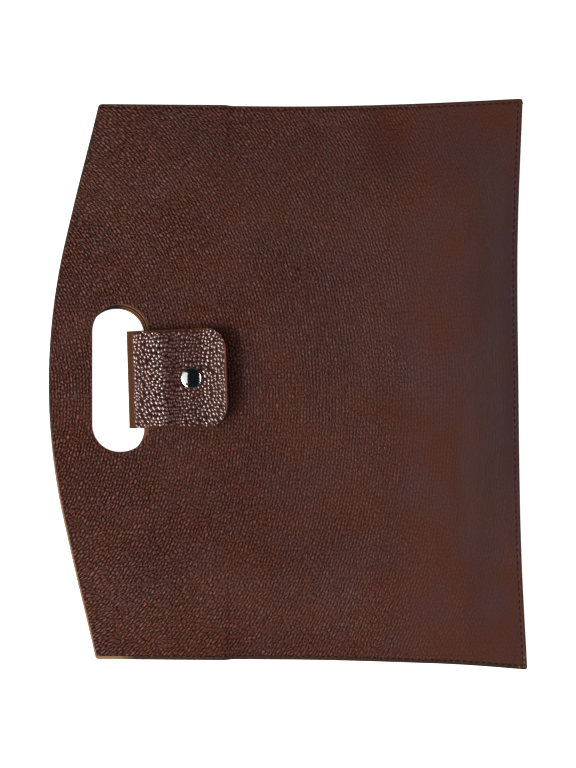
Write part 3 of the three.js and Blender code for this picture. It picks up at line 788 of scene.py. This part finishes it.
def pebbleField(u, v):  # distances to the nearest and next pebble centres, in pebbles
    rng = np.random.default_rng(pebbles['seed'])
    size = 128
    jitter = 0.5 + pebbles['scatter'] * (rng.random((size, size, 2)) - 0.5)
    cellU, cellV = np.floor(u).astype(int), np.floor(v).astype(int)
    nearest, following = np.full(u.shape, 9.0), np.full(u.shape, 9.0)
    for du in (-1, 0, 1):
        for dv in (-1, 0, 1):
            shift = jitter[(cellU + du) % size, (cellV + dv) % size]
            gap = np.hypot(cellU + du + shift[..., 0] - u, cellV + dv + shift[..., 1] - v)
            following = np.minimum(following, np.maximum(nearest, gap))
            nearest = np.minimum(nearest, gap)
    return nearest, following


def tabHalf(s):
    frontLength = tab['reach'] + tab['foldTop']
    return mix(tab['endWidth'], tab['width'], np.clip(s / frontLength, 0, 1)) / 2


def tabPebbles(a, s):
    swell = pebbles['swell'] * np.sin(a / 5.1 + s / 7.3)
    ripple = pebbles['ripple'] * np.sin(a / 3.3 - s / 4.7)
    wave = swell + ripple
    flow = s + (a - pebbles['middle']) ** 2 / pebbles['bend']
    near, following = pebbleField(flow / pebbles['size'] + wave, a / pebbles['size'] + wave)
    stretched = (ease((s - pebbles['calmFrom']) / pebbles['calmFade'])
                 * ease((pebbles['calmTo'] - s) / pebbles['calmFade']))
    dome = np.maximum(0, 1 - (near / pebbles['dome']) ** 2)
    return (1 - pebbles['calm'] * stretched) * np.minimum(1, (following - near) / pebbles['crease']) * dome


def tabSmooth(a, s):
    border = np.minimum(tabHalf(s) - np.abs(a), np.minimum(s - pebbles['border'], tabLength - s))
    u = np.interp(s, routeWalk, routeU)
    fold = ease((u - foldU - tab['foldReach'] + pebbles['foldBare']) / pebbles['foldFade'])
    fold = fold * (s < tabLength - tab['anchorLength'])
    return np.maximum(1 - ease((border - pebbles['border']) / pebbles['borderFade']), fold)


def tabPlace(a, s, depth):
    at = np.clip(s, 0, tabLength)
    beyond = s - at
    u = np.interp(at, routeWalk, routeU)
    z = np.interp(at, routeWalk, routeZ)
    step = 0.3
    du = np.interp(at + step, routeWalk, routeU) - np.interp(at - step, routeWalk, routeU)
    dz = np.interp(at + step, routeWalk, routeZ) - np.interp(at - step, routeWalk, routeZ)
    size = np.hypot(du, dz)
    du, dz = du / size, dz / size
    bumps = pebbles['height'] * tabPebbles(a, s) * (1 - tabSmooth(a, s))
    onBack = ease((s - tabLength + tab['anchorLength'] + pebbles['backFrom']) / pebbles['backFade'])
    sunk = pebbles['height'] * mix(pebbles['sunk'], 1.0, onBack)
    out = tab['thick'] * (0.5 - depth) + (bumps - sunk) * (depth == 0)
    u, z = u + du * beyond - dz * out, z + dz * beyond + du * out
    x, y = turnedAt(a, u)
    return np.stack([x, y, z], axis=1)


def tabPatch():
    ends = [tab['edgeRadius'], tab['firstStep']]
    fixed, share, _ = rulings(ends, ends, tab['width'], tab['gridStep'])
    walkFixed, walkShare, _ = rulings(ends, ends, tabLength, tab['gridStep'])
    s = walkFixed[:, None] + walkShare[:, None] * (tabLength - 2 * tab['firstStep']) + 0 * fixed
    half = tabHalf(s)
    a = -half + fixed + share * (2 * half - 2 * tab['firstStep'])
    for side in (-1, 1):
        inset = half - side * a
        newInset, newS = roundCorner(inset, s, tab['endRadius'])
        a, s = a - side * (newInset - inset), newS
        inset = half - side * a
        newInset, newEnd = roundCorner(inset, tabLength - s, tab['anchorRadius'])
        a, s = a - side * (newInset - inset), tabLength - newEnd
    rows, cols = a.shape
    number = np.arange(rows * cols).reshape(rows, cols)
    cells = np.stack([number[:-1, :-1], number[1:, :-1], number[1:, 1:], number[:-1, 1:]], axis=-1)
    cells = cells.reshape(-1, 4).tolist()
    loop = [*number[:-1, 0], *number[-1, :-1], *number[:0:-1, -1], *number[0, :0:-1]]
    return a.ravel(), s.ravel(), cells, [loop]


def closureTab():
    patch = tabPatch()
    piece = slab('ClosureTab', patch, tabPlace, tab['thick'], tab['edgeRadius'],
                 [tabHide, tabEdge, fleshSide, tabBorder])
    a, s = patch[:2]
    relief = np.full(len(piece.data.vertices), 0.5)
    relief[:len(a)] = tabPebbles(a, s)
    smooth = np.zeros(len(piece.data.vertices))
    smooth[:len(a)] = tabSmooth(a, s)
    for key, values in (('pebble', relief), ('worn', smooth)):
        piece.data.attributes.new(key, 'FLOAT', 'POINT').data.foreach_set('value', values)
    for face in piece.data.polygons:
        if face.material_index == 0 and min(smooth[k] for k in face.vertices) > 0.5:
            onFold = np.interp(s[face.vertices[0]], routeWalk, routeU) > foldU
            face.material_index = 1 if onFold else 3
    return piece


tabPiece = closureTab()
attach(tabPiece, 'root')
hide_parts('closure_tab')
print(tabPiece.name, len(tabPiece.data.polygons), 'faces')


# Press snap: a fine cap in place of the CAD one, and the CAD's own inner parts, replated
def snapCap():
    radius, post = snap['diameter'] / 2, snap['postRadius']
    base = seatZ + tab['thick'] / 2 + clearance
    under, rim, top = snap['underRound'], snap['rim'], snap['rim'] + snap['dome']
    domeRadius = radius - snap['rimRound']
    profile = [(0, -snap['postLength']), (post, -snap['postLength']), (post, 0), (radius - under, 0.0),
               (radius - 0.12, 0.1), (radius, 0.3), (radius, rim), (radius - 0.04, rim + 0.2)]
    tilt = 2 * math.atan((snap['dome'] - 0.35) / domeRadius)
    ball = domeRadius / math.sin(tilt)
    profile += [(ball * math.sin(t), top - ball * (1 - math.cos(t)))
                for t in np.linspace(tilt, 0.02, snap['domeSteps'])]
    profile += [(0, top)]
    sides = snap['sides']
    rings = profile[1:-1]
    points, faces = [], []
    for r, z in rings:
        for k in range(sides):
            turn = 2 * math.pi * k / sides
            points.append((snapX + r * math.cos(turn), snapY + r * math.sin(turn), base + z))
    for ring in range(len(rings) - 1):
        for k in range(sides):
            a, b = ring * sides + k, ring * sides + (k + 1) % sides
            faces.append((a, b, b + sides, a + sides))
    for (_, z), first, flip in ((profile[0], 0, True), (profile[-1], (len(rings) - 1) * sides, False)):
        points.append((snapX, snapY, base + z))
        for k in range(sides):
            a, b = first + k, first + (k + 1) % sides
            faces.append((b, a, len(points) - 1) if flip else (a, b, len(points) - 1))
    mesh = bpy.data.meshes.new('SnapCap')
    mesh.from_pydata((np.array(points) * mm).tolist(), [], faces)
    mesh.materials.append(chrome)
    mesh.shade_smooth()
    cap = bpy.data.objects.new('SnapCap', mesh)
    scene.collection.objects.link(cap)
    return cap


cap = snapCap()
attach(cap, 'root')
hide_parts('snap_cap')
for node in ('snap_base', 'snap_stud', 'snap_socket'):
    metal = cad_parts[node]
    for place in metal.material_slots:
        place.material = chrome
print('snap made')


# Stitches, laid along a path by Geometry Nodes
def stitchTree():
    tree = bpy.data.node_groups.new('stitch row', 'GeometryNodeTree')
    sockets = {}
    for name, kind in (('Path', 'NodeSocketGeometry'), ('Pitch', 'NodeSocketFloat'),
                       ('Stitch Length', 'NodeSocketFloat'), ('Thread Width', 'NodeSocketFloat'),
                       ('Thread', 'NodeSocketMaterial')):
        sockets[name] = tree.interface.new_socket(name, in_out='INPUT', socket_type=kind)
    tree.interface.new_socket('Stitches', in_out='OUTPUT', socket_type='NodeSocketGeometry')
    add = partial(addNode, tree)
    given = add('NodeGroupInput').outputs
    route = add('GeometryNodeMeshToCurve', {'Mesh': given['Path']}).outputs[0]
    spots = add('GeometryNodeCurveToPoints', {'Curve': route, 'Length': given['Pitch']},
                mode='LENGTH').outputs
    turned = add('FunctionNodeAlignRotationToVector', {'Vector': spots['Tangent']}, axis='X').outputs[0]
    bead = add('GeometryNodeMeshUVSphere', {'Segments': 8, 'Rings': 5, 'Radius': 0.5}).outputs['Mesh']
    size = add('ShaderNodeCombineXYZ', {
        'X': given['Stitch Length'], 'Y': given['Thread Width'], 'Z': given['Thread Width']}).outputs[0]
    copies = add('GeometryNodeInstanceOnPoints', {
        'Points': spots['Points'], 'Instance': bead, 'Rotation': turned, 'Scale': size}).outputs[0]
    real = add('GeometryNodeRealizeInstances', {'Geometry': copies}).outputs[0]
    smooth = add('GeometryNodeSetShadeSmooth', {'Geometry': real}).outputs[0]
    done = add('GeometryNodeSetMaterial', {'Geometry': smooth, 'Material': given['Thread']}).outputs[0]
    add('NodeGroupOutput', {'Stitches': done})
    return tree, {name: socket.identifier for name, socket in sockets.items()}


rowTree, rowInputs = stitchTree()


def stitchRow(name, path):
    mesh = bpy.data.meshes.new(name)
    points = (np.array(path) * mm).tolist()
    mesh.from_pydata(points, [(k, k + 1) for k in range(len(points) - 1)], [])
    row = bpy.data.objects.new(name, mesh)
    scene.collection.objects.link(row)
    modifier = row.modifiers.new('stitches', 'NODES')
    modifier.node_group = rowTree
    modifier[rowInputs['Pitch']] = seam['pitch'] * mm
    modifier[rowInputs['Stitch Length']] = seam['stitch'] * mm
    modifier[rowInputs['Thread Width']] = seam['thread'] * mm
    modifier[rowInputs['Thread']] = thread
    made = row.evaluated_get(bpy.context.evaluated_depsgraph_get())
    stitched = bpy.data.meshes.new_from_object(made)
    row.modifiers.clear()
    row.data = stitched
    stitched.name = name
    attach(row, 'root')
    print(name, len(stitched.polygons), 'faces')


def seamPath(heightAt, lift):
    down = np.linspace(mouthCornerY - seam['fromMouth'], footY + seam['fromFoot'], seam['sideSteps'])
    left = float(leftEdge(footY)) + seam['fromCorner']
    right = float(rightEdge(footY)) - seam['fromCorner']
    along = np.linspace(right, left, seam['footSteps'])
    rightSide = [(float(rightEdge(y)) - seam['sideInset'], float(y)) for y in down]
    foot = [(float(x), float(footEdge(x)) + seam['footInset']) for x in along]
    leftSide = [(float(leftEdge(y)) + seam['sideInset'], float(y)) for y in down[::-1]]
    return [(x, y, float(heightAt(np.array(x), np.array(y))) + lift) for x, y in rightSide + foot + leftSide]


def tableTop(x, y):
    return 0 * x


def anchorPath():  # a box of stitches holds the tab's sewn end
    across = tab['width'] / 2 - tab['sewnInset']
    near, far = foldU - tab['sewnBelow'], foldU - tab['anchorLength'] + tab['sewnInset']
    corners = [(-across, near), (-across, far), (across, far), (across, near), (-across, near)]
    return [(*turnedAt(a, u), seam['backHeight']) for a, u in corners]


stitchRow('FrontStitches', seamPath(frontTop, seam['frontLift']))
stitchRow('BackStitches', seamPath(tableTop, seam['backHeight']))
stitchRow('TabStitches', anchorPath())


# Stage
def areaLight(name, place, target, width, height, power, colour='#ffffff', mirrored=True):
    data = bpy.data.lights.new(name, 'AREA')
    data.shape, data.size, data.size_y = 'RECTANGLE', width, height
    data.energy, data.color = power, linear(colour)[:3]
    light = bpy.data.objects.new(name, data)
    light.location = place
    light.rotation_euler = (Vector(target) - Vector(place)).to_track_quat('-Z', 'Y').to_euler()
    light.visible_glossy = mirrored
    scene.collection.objects.link(light)


areaLight('key', (-0.55, 1.0, 0.92), (-0.12, 0, 0), 1.3, 0.34, 28, '#fff6f0')
areaLight('window', (0.0, 1.05, 1.15), (0, 0, 0), 1.5, 1.0, 6)
areaLight('strip', (0.0, -0.95, 1.05), (0, 0, 0), 1.3, 0.08, 3.5)
areaLight('overhead', (0.0, 0.0, 1.7), (0, 0, 0), 2.4, 2.4, 14, mirrored=False)

room = {'above': '#3a3c40', 'level': '#f2f4f8', 'strength': 0.25}
world = bpy.data.worlds.new('studio')
world.use_nodes = True
scene.world = world
addSky = partial(addNode, world.node_tree)
skyAxes = addSky('ShaderNodeSeparateXYZ', [addSky('ShaderNodeTexCoord').outputs['Generated']]).outputs
level = addSky('ShaderNodeMapRange', [skyAxes['Z'], 0.1, 0.5, 1, 0],
               interpolation_type='SMOOTHSTEP').outputs[0]
glow = addSky('ShaderNodeMix', {0: level, 6: linear(room['above']), 7: linear(room['level'])},
              data_type='RGBA').outputs[2]
background = world.node_tree.nodes['Background'].inputs
world.node_tree.links.new(glow, background['Color'])
background['Strength'].default_value = room['strength']
scene.view_settings.view_transform = 'Standard'

ground = {'half': 4, 'z': -0.0002}  # metres
corners = [(x * ground['half'], y * ground['half'], ground['z'])
           for x, y in ((-1, -1), (1, -1), (1, 1), (-1, 1))]
floorMesh = bpy.data.meshes.new('Floor')
floorMesh.from_pydata(corners, [], [(0, 1, 2, 3)])
floorMesh.materials.append(whiteBoard)
floor = bpy.data.objects.new('Floor', floorMesh)
scene.collection.objects.link(floor)

view = {'height': 1.1, 'field': 476.2, 'plane': 5, 'aside': 0.45, 'sensor': 36}  # height in metres
cameraData = bpy.data.cameras.new('Camera')
cameraData.sensor_width = view['sensor']
cameraData.lens = view['sensor'] * (view['height'] - view['plane'] * mm) / (view['field'] * mm)
camera = bpy.data.objects.new('Camera', cameraData)
camera.location = (0, view['aside'] * mm, view['height'])
camera.rotation_euler = (0, 0, -math.pi / 2)
scene.collection.objects.link(camera)
scene.camera = camera
print('stage set')

bpy.context.view_layer.update()
